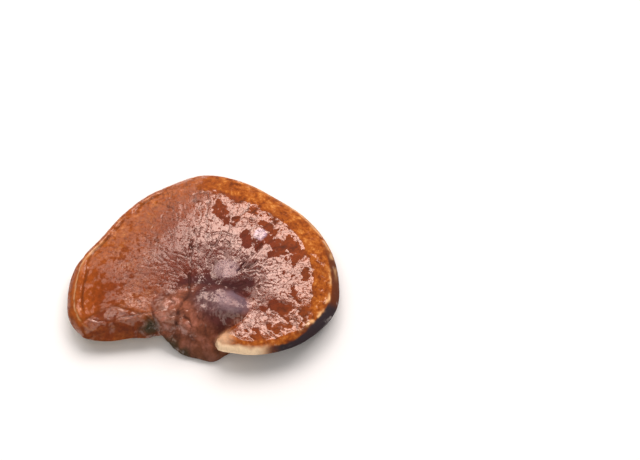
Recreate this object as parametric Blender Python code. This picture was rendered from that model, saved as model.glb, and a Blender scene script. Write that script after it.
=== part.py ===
"""Reishi mushroom: a kidney-shaped, lacquered bracket cap on a short stub of woody stem.

Two solids: the cap, a fan of ribs swept round the stem, and the stem, a flared stub cut off flat.
X runs along the cap's width, +Y to its far margin, +Z up. The origin is the middle of the flat cut.
"""
import math

import bmesh
import bpy
import numpy as np

# Driving dimensions, in millimetres
MM = 0.001
CAP_THICK_AT_STEM = 12.5
CAP_THICK_AT_MARGIN = 8.0
LONG_RIB = 40.0              # a shorter rib starts less thick at the stem
UNDERSIDE_LIFT = 3.0         # lowest the underside comes, near the stem
UNDERSIDE_TO_TABLE = (20.0, 42.0)  # beyond these y the lift fades out, so that the far margin rests
MARGIN_ROLL = 4.4            # how far in the rounding of the margin starts
INNER_ROLL = 3.2             # the same on the inner edge of the curled lobe
CROWN_AT = 0.38              # where along a rib the top is highest
OUTER_FALL = 1.9             # above 1, the top falls faster towards the margin
CLEARANCE = 0.45             # gap left between the stem and the cap that grows round it

# The ribs of the fan, from the notch left of the stem, round the far margin, to the tip of the
# curled right lobe. Each has its inner end x, y and top height, the height of the crown, and the
# margin's x, y and top height.
RIBS = (
    (-14.5, -1.0, 8.5, 9.0, -19.5, -3.3, 9.0),
    (-13.5, 1.5, 9.0, 11.5, -31.0, -5.0, 11.5),
    (-12.5, 4.0, 9.5, 13.5, -42.4, -6.8, 12.0),
    (-11.5, 6.0, 11.0, 15.0, -53.0, -5.0, 12.0),
    (-10.5, 8.0, 13.0, 15.5, -59.7, 2.5, 12.0),
    (-9.5, 10.0, 14.5, 15.5, -61.0, 13.0, 12.0),
    (-8.5, 11.5, 15.0, 16.0, -58.5, 27.3, 11.5),
    (-7.0, 12.5, 15.5, 16.5, -48.8, 41.0, 10.5),
    (-5.0, 13.0, 15.5, 17.0, -34.5, 58.0, 9.0),
    (-3.0, 13.5, 15.5, 17.5, -17.4, 70.0, 8.0),
    (0.0, 14.0, 15.5, 17.5, -1.6, 75.0, 8.0),
    (3.5, 14.0, 15.5, 17.5, 14.0, 72.2, 8.0),
    (7.0, 13.5, 15.5, 17.5, 30.8, 63.2, 8.5),
    (10.5, 13.0, 15.5, 17.5, 45.0, 52.2, 10.0),
    (14.0, 12.0, 15.5, 17.5, 55.2, 37.2, 11.5),
    (16.5, 10.5, 15.5, 17.5, 59.0, 22.0, 12.5),
    (17.7, 8.0, 15.5, 17.5, 58.0, 7.5, 13.5),
    (17.5, 5.0, 15.5, 17.0, 51.3, -2.2, 14.5),
    (15.6, 1.7, 15.5, 16.5, 38.5, -10.8, 15.0),
    (12.0, -2.0, 15.5, 16.0, 23.0, -14.6, 15.5),
    (8.0, -5.3, 15.5, 16.0, 12.0, -13.6, 15.5),
    (5.6, -7.6, 15.5, 16.0, 6.4, -12.6, 15.5),
    (4.6, -10.2, 15.5, 16.0, 4.7, -10.3, 15.5),
)

PLACED_BY = 6                # a rib's first six values set how far apart the ribs are

# The stem from its flat cut upwards: height, middle x and y, half width in x and in y
STEM_LEVELS = (
    (0.0, 0.4, -0.2, 13.6, 12.7),
    (1.2, 0.0, -0.2, 15.6, 12.9),
    (3.5, 0.0, 0.0, 19.2, 12.7),
    (6.5, -0.2, 1.0, 22.3, 11.4),
    (11.0, -1.8, 3.8, 23.6, 9.8),
    (15.0, -2.0, 6.2, 22.9, 9.2),
    (16.2, -0.5, 8.0, 19.0, 8.0),
    (17.0, 2.5, 9.4, 13.0, 5.8),
    (17.4, 4.5, 9.8, 6.5, 2.8),
)
STEM_FURROWS = 7             # shallow vertical folds round the stem
FURROW_DEPTH = 0.5
FURROW_START = 4.54          # direction of the first fold, and how far the folds wind with height
FURROW_TWIST = 0.15
STEM_OVAL = (0.07, 3.84)     # how far from round the sections are, and towards where, in radians
STEM_THREE_SIDED = (0.02, 1.9, 0.1)
CROWN_RISE = 0.3             # height of the stem's topmost point over its last ring

# Relief of the cap's top: growth ledges round the stem, and ripples that run out to the margin
GROWTH_CENTRE = (4.0, 13.0)
LEDGE_SPACING = 11.0
LEDGE_WANDER = 1.5
LEDGE_HEIGHT = 0.5
RIPPLES = ((7, 0.03, 0.22), (11, -0.05, 0.18), (17, 0.08, 0.14))  # how many, their bend, height
RIPPLES_FULL_AT = 30.0       # distances from the centre and from the margin where they are full
RELIEF_FULL_AT = 12.0
# Swellings of the top: middle x and y, half length in x and in y, height
SWELLINGS = (
    (9.5, 19.5, 5.5, 5.5, 1.2),
    (30.0, -9.0, 16.0, 7.0, 0.8),
    (-48.0, 12.0, 7.5, 11.0, -1.3),
)
# The left lobe has a raised lip along its margin
LIP_SIDE = (-14.0, -26.0)    # it starts at the first x and is full at the second
LIP_HEIGHT = 0.8
LIP_WIDTH = 1.9
LIP_INSET = 2.6
# The far and the right side slope down outwards in a smooth band
BAND_SIDE_X = (-14.0, 10.0)
BAND_SIDE_Y = (2.0, 20.0)
BAND_WIDTH = 11.5
BAND_RISE = 1.2
BAND_BACK = 9.0              # length over which the rise dies out behind the band
# The fold along the near side of the left lobe, in plan, past which the surface rolls down
FOLD = (
    (-62.0, -7.0), (-56.0, -2.5), (-50.6, 1.6), (-45.9, 4.6), (-41.1, 6.6), (-35.0, 5.4),
    (-28.0, 2.6), (-23.8, 0.4), (-18.0, -2.6),
)
FOLD_SLOPE = 0.36
FOLD_ROUNDING = 1.6
FOLD_ENDS_AT = -12.0

# Fineness of the meshes
CAP_RIBS = 83
CAP_SECTION = 44
STEM_SIDES = 44


def clear_scene():
    """Remove whatever the file holds."""
    for thing in list(bpy.data.objects):
        bpy.data.objects.remove(thing, do_unlink=True)


def material(name, colour, roughness, coat=0.0):
    """A plain principled material."""
    made = bpy.data.materials.new(name)
    made.use_nodes = True
    shader = made.node_tree.nodes["Principled BSDF"]
    shader.inputs["Base Color"].default_value = (*colour, 1.0)
    shader.inputs["Roughness"].default_value = roughness
    shader.inputs["Metallic"].default_value = 0.0
    shader.inputs["Coat Weight"].default_value = coat
    return made


def smooth_rows(rows, count):
    """Values between the rows of a table, on a smooth curve, evenly spaced along it."""
    rows = np.array(rows, dtype=float)
    steps = np.linalg.norm(np.diff(rows[:, :PLACED_BY], axis=0), axis=1)
    along = np.concatenate(([0.0], np.cumsum(steps)))
    slopes = np.gradient(rows, along, axis=0)
    wanted = np.linspace(0.0, along[-1], count)
    low = np.clip(np.searchsorted(along, wanted, side="right") - 1, 0, len(rows) - 2)
    span = (along[low + 1] - along[low])[:, None]
    t = (wanted - along[low])[:, None] / span
    return ((2 * t**3 - 3 * t**2 + 1) * rows[low] + (t**3 - 2 * t**2 + t) * span * slopes[low]
            + (3 * t**2 - 2 * t**3) * rows[low + 1] + (t**3 - t**2) * span * slopes[low + 1])


def distance_to_line(x, y, line):
    """Shortest distance in plan from each point to a line of points."""
    start = line[:-1]
    step = line[1:] - start
    size = np.maximum((step**2).sum(axis=1), 1e-9)
    dx = x[:, None] - start[None, :, 0]
    dy = y[:, None] - start[None, :, 1]
    t = np.clip((dx * step[:, 0] + dy * step[:, 1]) / size, 0.0, 1.0)
    return np.hypot(dx - t * step[:, 0], dy - t * step[:, 1]).min(axis=1)


def rounding(distance, reach):
    """Quarter-ellipse profile: 0 at the very edge, 1 from the given reach inwards."""
    return np.sqrt(np.clip(1.0 - (1.0 - np.clip(distance / reach, 0.0, 1.0)) ** 2, 0.0, 1.0))


def fade(value, start, end):
    """0 at start, 1 at end, smooth between them."""
    t = np.clip((value - start) / (end - start), 0.0, 1.0)
    return t * t * (3.0 - 2.0 * t)


def relief(x, y, from_margin):
    """Height added to the top of the cap, in millimetres."""
    out = np.hypot(x - GROWTH_CENTRE[0], y - GROWTH_CENTRE[1])
    turn = np.arctan2(y - GROWTH_CENTRE[1], x - GROWTH_CENTRE[0])
    wander = LEDGE_WANDER * np.sin(3 * turn)
    wrinkles = LEDGE_HEIGHT * np.sin(2 * math.pi * (out + wander) / LEDGE_SPACING)
    for count, bend, height in RIPPLES:
        wrinkles += height * np.sin(count * turn + bend * out) * np.clip(out / RIPPLES_FULL_AT, 0.0, 1.0)
    raised = wrinkles * np.clip(from_margin / RELIEF_FULL_AT, 0.0, 1.0)
    for mid_x, mid_y, half_x, half_y, height in SWELLINGS:
        raised += height * np.exp(-((x - mid_x) / half_x) ** 2 - ((y - mid_y) / half_y) ** 2)
    raised += LIP_HEIGHT * fade(x, *LIP_SIDE) * np.exp(-((from_margin - LIP_INSET) / LIP_WIDTH) ** 2)
    band_side = fade(x, *BAND_SIDE_X) * fade(y, *BAND_SIDE_Y)
    behind = np.exp(-(from_margin - BAND_WIDTH) / BAND_BACK)
    raised += BAND_RISE * band_side * np.where(from_margin < BAND_WIDTH, from_margin / BAND_WIDTH, behind)
    past = np.interp(x, *np.transpose(FOLD)) - y
    rolled = FOLD_SLOPE * (past + np.hypot(past, FOLD_ROUNDING) - FOLD_ROUNDING) / 2
    return raised - rolled * (x < FOLD_ENDS_AT)


def cap_rings():
    """Rings of points, one closed section across the cap for each rib, and the two end points."""
    table = smooth_rows(RIBS, CAP_RIBS + 2)
    root, rim = table[:, 0:2], table[:, 4:6]
    margin = np.vstack((root[:1], rim))
    angle = 2 * math.pi * (np.arange(CAP_SECTION) + 0.5) / CAP_SECTION
    share = (1.0 - np.cos(angle)) / 2.0
    upper = angle < math.pi
    lift_start, lift_end = UNDERSIDE_TO_TABLE
    rings = []
    for row in table[1:-1]:
        x = row[0] + (row[4] - row[0]) * share
        y = row[1] + (row[5] - row[1]) * share
        length = math.hypot(row[4] - row[0], row[5] - row[1])
        from_root = share * length
        from_margin = distance_to_line(x, y, margin)
        rise = np.clip(share / CROWN_AT, 0.0, 1.0)
        fall = np.clip((share - CROWN_AT) / (1.0 - CROWN_AT), 0.0, 1.0) ** OUTER_FALL
        top = row[2] + (row[3] - row[2]) * rise**2 * (3 - 2 * rise) - (row[3] - row[6]) * fall
        extra = (CAP_THICK_AT_STEM - CAP_THICK_AT_MARGIN) * min(1.0, length / LONG_RIB)
        thick = CAP_THICK_AT_MARGIN + extra * (1.0 - share)
        swell = rounding(from_root, INNER_ROLL) * rounding(from_margin, MARGIN_ROLL)
        z = top - thick / 2 + np.where(upper, 0.5, -0.5) * thick * swell
        z = z + np.where(upper, relief(x, y, from_margin) * swell, 0.0)
        lowest = UNDERSIDE_LIFT * np.clip((lift_end - y) / (lift_end - lift_start), 0.0, 1.0)
        rings.append(np.column_stack((x, y, np.maximum(z, lowest))))
    ends = [np.array((*(root[k] + rim[k]) / 2, table[k, 6] - CAP_THICK_AT_MARGIN / 2)) for k in (0, -1)]
    return rings, ends


def stem_rings():
    """Level rings from the flat cut to the top of the stem, furrowed and not quite round."""
    turn = 2 * math.pi * np.arange(STEM_SIDES) / STEM_SIDES
    rings = []
    for height, mid_x, mid_y, half_x, half_y in STEM_LEVELS:
        oval = STEM_OVAL[0] * np.sin(2 * turn + STEM_OVAL[1])
        size, start, twist = STEM_THREE_SIDED
        three_sided = size * np.sin(3 * turn + start + twist * height)
        uneven = 1.0 + oval + three_sided
        furrow = FURROW_DEPTH * np.sin(STEM_FURROWS * turn + FURROW_START + FURROW_TWIST * height)
        x = mid_x + (half_x * uneven + furrow) * np.cos(turn)
        y = mid_y + (half_y * uneven + furrow) * np.sin(turn)
        rings.append(np.column_stack((x, y, np.full(STEM_SIDES, height))))
    foot = np.array((*STEM_LEVELS[0][1:3], 0.0))
    crown = np.array((*STEM_LEVELS[-1][1:3], STEM_LEVELS[-1][0] + CROWN_RISE))
    return rings, [foot, crown]


def closed_mesh(name, rings, ends):
    """A closed tube through rings of points, drawn together to one point at each end."""
    count = len(rings[0])
    points = np.vstack(rings + ends) * MM
    first, last = len(points) - 2, len(points) - 1
    end_ring = (len(rings) - 1) * count
    faces = []
    for k in range(count):
        after = (k + 1) % count
        for ring in range(0, end_ring, count):
            faces.append((ring + k, ring + count + k, ring + count + after, ring + after))
        faces.append((first, k, after))
        faces.append((last, end_ring + after, end_ring + k))
    mesh = bpy.data.meshes.new(name)
    mesh.from_pydata([tuple(p) for p in points], [], faces)
    work = bmesh.new()
    work.from_mesh(mesh)
    bmesh.ops.recalc_face_normals(work, faces=work.faces)
    work.to_mesh(mesh)
    work.free()
    mesh.shade_smooth()
    made = bpy.data.objects.new(name, mesh)
    bpy.context.collection.objects.link(made)
    return made


def make_cap():
    """The cap: a glossy red-brown crust over a corky bracket."""
    cap = closed_mesh("cap", *cap_rings())
    cap.data.materials.append(material("lacquered_crust", (0.19, 0.045, 0.015), 0.22, coat=0.8))
    return cap


def make_stem(cap):
    """The stem, hollowed to take the cap that grows round its upper half."""
    stem = closed_mesh("stem", *stem_rings())
    stem.data.materials.append(material("stem_bark", (0.10, 0.045, 0.022), 0.55, coat=0.1))
    room = bpy.data.objects.new("cap_room", cap.data.copy())
    bpy.context.collection.objects.link(room)
    for vertex in room.data.vertices:
        vertex.co += vertex.normal * CLEARANCE * MM
    room.hide_render = True
    room.display_type = "WIRE"
    cut = stem.modifiers.new("room_for_cap", "BOOLEAN")
    cut.operation = "DIFFERENCE"
    cut.solver = "EXACT"
    cut.object = room
    return stem


clear_scene()
make_stem(make_cap())
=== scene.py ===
import math

import bmesh
import bpy
import numpy as np
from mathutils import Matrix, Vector, noise
from mathutils.bvhtree import BVHTree


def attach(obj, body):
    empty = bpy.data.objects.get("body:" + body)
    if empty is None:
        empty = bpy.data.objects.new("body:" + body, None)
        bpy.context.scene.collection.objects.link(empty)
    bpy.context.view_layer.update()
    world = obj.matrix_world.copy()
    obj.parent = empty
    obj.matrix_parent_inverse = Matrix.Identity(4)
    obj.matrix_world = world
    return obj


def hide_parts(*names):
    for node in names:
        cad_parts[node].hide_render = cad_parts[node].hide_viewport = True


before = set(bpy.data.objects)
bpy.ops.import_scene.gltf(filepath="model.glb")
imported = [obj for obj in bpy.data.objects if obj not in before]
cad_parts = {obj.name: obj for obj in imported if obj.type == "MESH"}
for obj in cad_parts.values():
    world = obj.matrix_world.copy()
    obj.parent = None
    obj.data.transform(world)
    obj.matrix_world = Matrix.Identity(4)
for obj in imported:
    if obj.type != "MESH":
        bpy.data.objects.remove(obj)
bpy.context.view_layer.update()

# The cap: a kidney-shaped bracket of corky flesh under a thin natural lacquer, which grew sideways
# out of the stem and curled round in front of it. Its form is a fan of ribs swept round the stem.
# All lengths are in millimetres, in the frame of the solids.
MM = 0.001
CAP_THICK_AT_STEM = 12.5
CAP_THICK_AT_MARGIN = 8.0
LONG_RIB = 40.0
UNDERSIDE_LIFT = 3.0
UNDERSIDE_TO_TABLE = (20.0, 42.0)
MARGIN_ROLL = 4.4
INNER_ROLL = 3.2
CROWN_AT = 0.38
OUTER_FALL = 1.9
# Each rib: inner end x, y and top height, crown height, margin x, y and top height
RIBS = (
    (-14.5, -1.0, 8.5, 9.0, -19.5, -3.3, 9.0),
    (-13.5, 1.5, 9.0, 11.5, -31.0, -5.0, 11.5),
    (-12.5, 4.0, 9.5, 13.5, -42.4, -6.8, 12.0),
    (-11.5, 6.0, 11.0, 15.0, -53.0, -5.0, 12.0),
    (-10.5, 8.0, 13.0, 15.5, -59.7, 2.5, 12.0),
    (-9.5, 10.0, 14.5, 15.5, -61.0, 13.0, 12.0),
    (-8.5, 11.5, 15.0, 16.0, -58.5, 27.3, 11.5),
    (-7.0, 12.5, 15.5, 16.5, -48.8, 41.0, 10.5),
    (-5.0, 13.0, 15.5, 17.0, -34.5, 58.0, 9.0),
    (-3.0, 13.5, 15.5, 17.5, -17.4, 70.0, 8.0),
    (0.0, 14.0, 15.5, 17.5, -1.6, 75.0, 8.0),
    (3.5, 14.0, 15.5, 17.5, 14.0, 72.2, 8.0),
    (7.0, 13.5, 15.5, 17.5, 30.8, 63.2, 8.5),
    (10.5, 13.0, 15.5, 17.5, 45.0, 52.2, 10.0),
    (14.0, 12.0, 15.5, 17.5, 55.2, 37.2, 11.5),
    (16.5, 10.5, 15.5, 17.5, 59.0, 22.0, 12.5),
    (17.7, 8.0, 15.5, 17.5, 58.0, 7.5, 13.5),
    (17.5, 5.0, 15.5, 17.0, 51.3, -2.2, 14.5),
    (15.6, 1.7, 15.5, 16.5, 38.5, -10.8, 15.0),
    (12.0, -2.0, 15.5, 16.0, 23.0, -14.6, 15.5),
    (8.0, -5.3, 15.5, 16.0, 12.0, -13.6, 15.5),
    (5.6, -7.6, 15.5, 16.0, 6.4, -12.6, 15.5),
    (4.6, -10.2, 15.5, 16.0, 4.7, -10.3, 15.5),
)
LEFT_LOBE_START = -12.0      # x at which the left lobe begins
# The shallow hollow of the left lobe: middle x and y, half lengths
LEFT_HOLLOW = (-48.0, 12.0, 7.5, 11.0)
HOLLOW_DEPTH = 1.3
# The fold along the near side of the left lobe, in plan, past which the surface rolls down
FOLD = ((-62.0, -7.0), (-56.0, -2.5), (-50.6, 1.6), (-45.9, 4.6), (-41.1, 6.6), (-35.0, 5.4), (-28.0, 2.6),
        (-23.8, 0.4), (-18.0, -2.6))
FOLD_SLOPE = 0.36
FOLD_ROUNDING = 1.6
CAP_RIBS = 400
CAP_SECTION = 150


def smooth_rows(rows, count, measured):
    """Values between the rows of a table, on a smooth curve, evenly spaced along it."""
    rows = np.array(rows, dtype=float)
    steps = np.linalg.norm(np.diff(rows[:, :measured], axis=0), axis=1)
    along = np.concatenate(([0.0], np.cumsum(steps)))
    slopes = np.gradient(rows, along, axis=0)
    wanted = np.linspace(0.0, along[-1], count)
    low = np.clip(np.searchsorted(along, wanted, side="right") - 1, 0, len(rows) - 2)
    span = (along[low + 1] - along[low])[:, None]
    t = (wanted - along[low])[:, None] / span
    return ((2 * t**3 - 3 * t**2 + 1) * rows[low] + (t**3 - 2 * t**2 + t) * span * slopes[low]
            + (3 * t**2 - 2 * t**3) * rows[low + 1] + (t**3 - t**2) * span * slopes[low + 1])


def distance_to_line(x, y, line):
    """Shortest distance in plan from each point to a line of points."""
    line = np.asarray(line, dtype=float)
    nearest = np.full(len(x), np.inf)
    for start, end in zip(line[:-1], line[1:]):
        step = end - start
        size = max(float(step @ step), 1e-9)
        t = np.clip(((x - start[0]) * step[0] + (y - start[1]) * step[1]) / size, 0.0, 1.0)
        nearest = np.minimum(nearest, np.hypot(x - start[0] - t * step[0], y - start[1] - t * step[1]))
    return nearest


def rounding(distance, reach):
    """Quarter-ellipse profile: 0 at the very edge, 1 from the given reach inwards."""
    return np.sqrt(np.clip(1.0 - (1.0 - np.clip(distance / reach, 0.0, 1.0)) ** 2, 0.0, 1.0))


def mound(x, y, middle_x, middle_y, half_x, half_y):
    """1 in the middle of a place in plan, and almost 0 at twice its half lengths."""
    return np.exp(-(((x - middle_x) / half_x) ** 2 + ((y - middle_y) / half_y) ** 2))


fan = smooth_rows(RIBS, CAP_RIBS + 2, 6)
margin_line = np.vstack((fan[:1, 0:2], fan[:, 4:6]))[::3]


def past_the_fold(x, y):
    """How far a point lies on the near side of the left lobe's fold."""
    return np.interp(x, *np.transpose(FOLD)) - y


def near_roll(x, y):
    """How far the near side of the left lobe rolls down past its fold."""
    past = past_the_fold(x, y)
    return FOLD_SLOPE * (past + np.hypot(past, FOLD_ROUNDING) - FOLD_ROUNDING) / 2 * (x < LEFT_LOBE_START)


def cap_rings():
    """Closed sections across the cap, one for each rib, and the two end points."""
    angle = 2 * math.pi * (np.arange(CAP_SECTION) + 0.5) / CAP_SECTION
    share = (1.0 - np.cos(angle)) / 2.0
    upper = angle < math.pi
    lift_start, lift_end = UNDERSIDE_TO_TABLE
    rings = []
    for row in fan[1:-1]:
        x = row[0] + (row[4] - row[0]) * share
        y = row[1] + (row[5] - row[1]) * share
        length = math.hypot(row[4] - row[0], row[5] - row[1])
        from_margin = distance_to_line(x, y, margin_line)
        rise = np.clip(share / CROWN_AT, 0.0, 1.0)
        fall = np.clip((share - CROWN_AT) / (1.0 - CROWN_AT), 0.0, 1.0) ** OUTER_FALL
        top = row[2] + (row[3] - row[2]) * rise**2 * (3 - 2 * rise) - (row[3] - row[6]) * fall
        extra = (CAP_THICK_AT_STEM - CAP_THICK_AT_MARGIN) * min(1.0, length / LONG_RIB)
        thick = CAP_THICK_AT_MARGIN + extra * (1.0 - share)
        swell = rounding(share * length, INNER_ROLL) * rounding(from_margin, MARGIN_ROLL)
        raised = -HOLLOW_DEPTH * mound(x, y, *LEFT_HOLLOW) - near_roll(x, y)
        z = top - thick / 2 + np.where(upper, 0.5, -0.5) * thick * swell
        z = z + np.where(upper, raised * swell, 0.0)
        lowest = UNDERSIDE_LIFT * np.clip((lift_end - y) / (lift_end - lift_start), 0.0, 1.0)
        rings.append(np.column_stack((x, y, np.maximum(z, lowest))))
    ends = [np.array((*(fan[k, 0:2] + fan[k, 4:6]) / 2, fan[k, 6] - CAP_THICK_AT_MARGIN / 2))
            for k in (0, -1)]
    return rings, ends


def tube_faces(rings, count):
    """Faces of a closed tube of rings, drawn together to one point at each end."""
    first = rings * count
    end_ring = first - count
    faces = []
    for k in range(count):
        after = (k + 1) % count
        for ring in range(0, end_ring, count):
            faces.append((ring + k, ring + count + k, ring + count + after, ring + after))
        faces.append((first, k, after))
        faces.append((first + 1, end_ring + after, end_ring + k))
    return faces


def closed_form(rings, ends):
    """The closed body round the rings, with its faces outwards, and a tree to measure from it."""
    points = np.vstack(rings + ends)
    mesh = bpy.data.meshes.new("form")
    mesh.from_pydata([tuple(p) for p in points * MM], [], tube_faces(len(rings), len(rings[0])))
    work = bmesh.new()
    work.from_mesh(mesh)
    bmesh.ops.recalc_face_normals(work, faces=work.faces)
    tree = BVHTree.FromBMesh(work)
    work.to_mesh(mesh)
    work.free()
    return mesh, tree


cap_mesh, cap_tree = closed_form(*cap_rings())

# The stem: a short, woody stub under bark, cut off flat below, which widens upwards into the cap.
# The two grew as one body. Its form is a stack of level rings, furrowed upright. Each row, from
# the cut upwards, holds the height, the middle's x and y, and the half width in x and in y.
STEM_LEVELS = (
    (0.0, 0.4, -0.2, 13.6, 12.7),
    (1.2, 0.0, -0.2, 15.6, 12.9),
    (3.5, 0.0, 0.0, 19.2, 12.7),
    (6.5, -0.2, 1.0, 22.3, 11.4),
    (11.0, -1.8, 3.8, 23.6, 9.8),
    (15.0, -2.0, 6.2, 22.9, 9.2),
    (16.2, -0.5, 8.0, 19.0, 8.0),
    (17.0, 2.5, 9.4, 13.0, 5.8),
    (17.4, 4.5, 9.8, 6.5, 2.8),
)
STEM_TOP_RISE = 0.3
STEM_FURROWS = 7
FURROW_DEPTH = 0.5
FURROW_START = 4.54
FURROW_LEAN = 0.15           # turn of the furrows for each millimetre of height
# How far the stem is from round: two broad lobes, and three slight ones that turn as they rise
TWO_LOBES = 0.07
TWO_LOBES_START = 3.84
THREE_LOBES = 0.02
THREE_LOBES_START = 1.9
THREE_LOBES_LEAN = 0.1
STEM_SIDES = 160
STEM_RINGS = 60


def stem_rings():
    """Level rings from the flat cut to the top of the stem, furrowed and not quite round."""
    turn = 2 * math.pi * np.arange(STEM_SIDES) / STEM_SIDES
    rings = []
    for height, mid_x, mid_y, half_x, half_y in smooth_rows(STEM_LEVELS, STEM_RINGS, 5):
        width = (1.0 + TWO_LOBES * np.sin(2 * turn + TWO_LOBES_START)
                 + THREE_LOBES * np.sin(3 * turn + THREE_LOBES_START + THREE_LOBES_LEAN * height))
        furrow = FURROW_DEPTH * np.sin(STEM_FURROWS * turn + FURROW_START + FURROW_LEAN * height)
        x = mid_x + (half_x * width + furrow) * np.cos(turn)
        y = mid_y + (half_y * width + furrow) * np.sin(turn)
        rings.append(np.column_stack((x, y, np.full(STEM_SIDES, height))))
    foot = np.array((*STEM_LEVELS[0][1:3], 0.0))
    crown = np.array((*STEM_LEVELS[-1][1:3], STEM_LEVELS[-1][0] + STEM_TOP_RISE))
    return rings, [foot, crown]


stem_mesh, stem_tree = closed_form(*stem_rings())

# The skin of both: the crust runs without a break over the cap and down the stem, so the two forms
# are fused, and the corner between them is filled in as the flesh does. The filling is full on the
# far side, where the stem grows into the cap, and there is none at the free edges of the lobes.
SKIN_GRAIN = 0.39            # edge length of the skin's faces on top
SKIN_KEPT = 0.54             # share of the faces kept, once the underside is made coarser
UNSEEN_FACING = -0.25        # the skin that faces lower than this is made coarser
KEPT_EDGE = 5.0              # width of the underside's edge that keeps its fine faces
FILLET_REACH = 8.0
FILLET_PASSES = 600
FILLET_MIDDLE = (0.0, 7.0)
FILLET_FULL = (4.0, 150.0)   # directions in plan, in degrees, between which the corner is full
FILLET_FADE = (14.0, 18.0)
UNDER_FILLET = 0.4
LEAST_FILLET = 0.01


def fade(value, start, end):
    """0 at start, 1 at end, smooth between them."""
    t = np.clip((value - start) / (end - start), 0.0, 1.0)
    return t * t * (3.0 - 2.0 * t)


def nearness(tree, points):
    """Distance from each point to a body's surface, in millimetres."""
    return np.array([tree.find_nearest(Vector(p))[3] for p in points * MM]) / MM


def finished_mesh(thing):
    """The object's mesh as its modifiers leave it."""
    return bpy.data.meshes.new_from_object(thing.evaluated_get(bpy.context.evaluated_depsgraph_get()))


def read_points(mesh, what="co"):
    """Points or normals of a mesh as an array."""
    values = np.empty(len(mesh.vertices) * 3)
    mesh.vertices.foreach_get(what, values)
    return values.reshape(-1, 3)


def weigh(thing, name, weights):
    """Gives the object a vertex group with the weights that are more than nothing."""
    group = thing.vertex_groups.new(name=name)
    for index in np.nonzero(weights)[0]:
        group.add([int(index)], float(weights[index]), "REPLACE")


both = bmesh.new()
both.from_mesh(cap_mesh)
both.from_mesh(stem_mesh)
fused_mesh = bpy.data.meshes.new("fused")
both.to_mesh(fused_mesh)
fused = bpy.data.objects.new("fused", fused_mesh)
bpy.context.scene.collection.objects.link(fused)
grain = fused.modifiers.new("grain", "REMESH")
grain.mode = "VOXEL"
grain.voxel_size = SKIN_GRAIN * MM
fused.data = finished_mesh(fused)
fused.modifiers.clear()

points = read_points(fused.data) / MM
to_cap = nearness(cap_tree, points)
to_stem = nearness(stem_tree, points)
heading = np.degrees(np.arctan2(points[:, 1] - FILLET_MIDDLE[1], points[:, 0] - FILLET_MIDDLE[0]))
heading = np.where(heading < -90.0, heading + 360.0, heading)
around = (fade(heading, FILLET_FULL[0] - FILLET_FADE[0], FILLET_FULL[0])
          * fade(heading, FILLET_FULL[1] + FILLET_FADE[1], FILLET_FULL[1]))
downward = read_points(fused.data, "normal")[:, 2] < 0
corner = fade(np.maximum(to_cap, to_stem), FILLET_REACH, 1.0) * np.where(downward, UNDER_FILLET, around)
weigh(fused, "corner", np.where(corner > LEAST_FILLET, corner, 0.0))
fillet = fused.modifiers.new("fillet", "SMOOTH")
fillet.factor = 0.5
fillet.iterations = FILLET_PASSES
fillet.vertex_group = "corner"
fused.data = finished_mesh(fused)
fused.modifiers.clear()

points = read_points(fused.data) / MM
deep_under = distance_to_line(points[:, 0], points[:, 1], margin_line) > KEPT_EDGE
weigh(fused, "unseen", (read_points(fused.data, "normal")[:, 2] < UNSEEN_FACING) & deep_under)
thinning = fused.modifiers.new("thinning", "DECIMATE")
thinning.ratio = SKIN_KEPT
thinning.vertex_group = "unseen"
skin_mesh = finished_mesh(fused)
bpy.data.objects.remove(fused)

# Where each point of the skin is: on cap or stem, how far out, how near the margin. The spans given
# to fade() are places in x, y and z, or distances, in millimetres. The unevenness keeps the borders
# of every zone from being drawn with a ruler.
GROWTH_CENTRE = (4.0, 13.0)
TONGUE_EDGE = ((19.7, 7.7), (17.8, 4.5), (16.1, 1.6), (12.6, -0.6), (9.6, -2.3), (7.4, -3.8), (6.0, -5.5))
# Places in plan: middle x and y, half lengths
CALM_FIELD = (-48.0, 14.0, 8.0, 13.0)
FAR_KNOLL = (9.5, 19.5, 5.4772, 5.4772)
NEAR_HUMP = (12.8, 5.4, 6.6, 5.2)
FAR_GLEAM = (9.4, 23.8, 5.4, 4.2)
NEAR_GLEAM = (12.8, 8.0, 7.4, 5.2)
NEAR_GLEAM_LEAN = 0.5
BLISTER_PLACE = (24.0, 40.5, 2.6, 2.6)
BAND_WIDTH = 11.5            # of the ochre rim band on the far side
BAND_NARROWER = (7.5, 4.0)   # by how much it is narrower near the lobe in front, and at the left


def uneven(where, spacing, seed):
    """Smooth unevenness from about -1 to 1, with swells about the given distance apart."""
    shift = Vector((7.3 * seed, 3.1 * seed, 5.7 * seed))
    return np.array([noise.noise(Vector(p) + shift) for p in where / spacing])


def without(*parts):
    """What is left after a share of each mask is taken out."""
    rest = 1.0
    for share, mask in parts:
        rest = rest * (1.0 - share * mask)
    return rest


def bell(distance, width):
    """1 where the distance is nothing, and almost 0 at twice the width."""
    return np.exp(-(distance / width) ** 2)


def from_place(x, y, middle_x, middle_y, half_x, half_y, lean=0.0):
    """Distance in plan from a place's middle: 1 on the ellipse of its half lengths."""
    return np.hypot((x - middle_x + lean * (y - middle_y)) / half_x, (y - middle_y) / half_y)


points = read_points(skin_mesh) / MM
normals = read_points(skin_mesh, "normal")
x, y, z = points.T
facing = normals[:, 2]
wander = uneven(points, 9.0, 1)
jitter = uneven(points, 2.6, 2)
pebbles = uneven(points, 1.5, 9)
specks = uneven(points, 1.2, 24)

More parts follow.
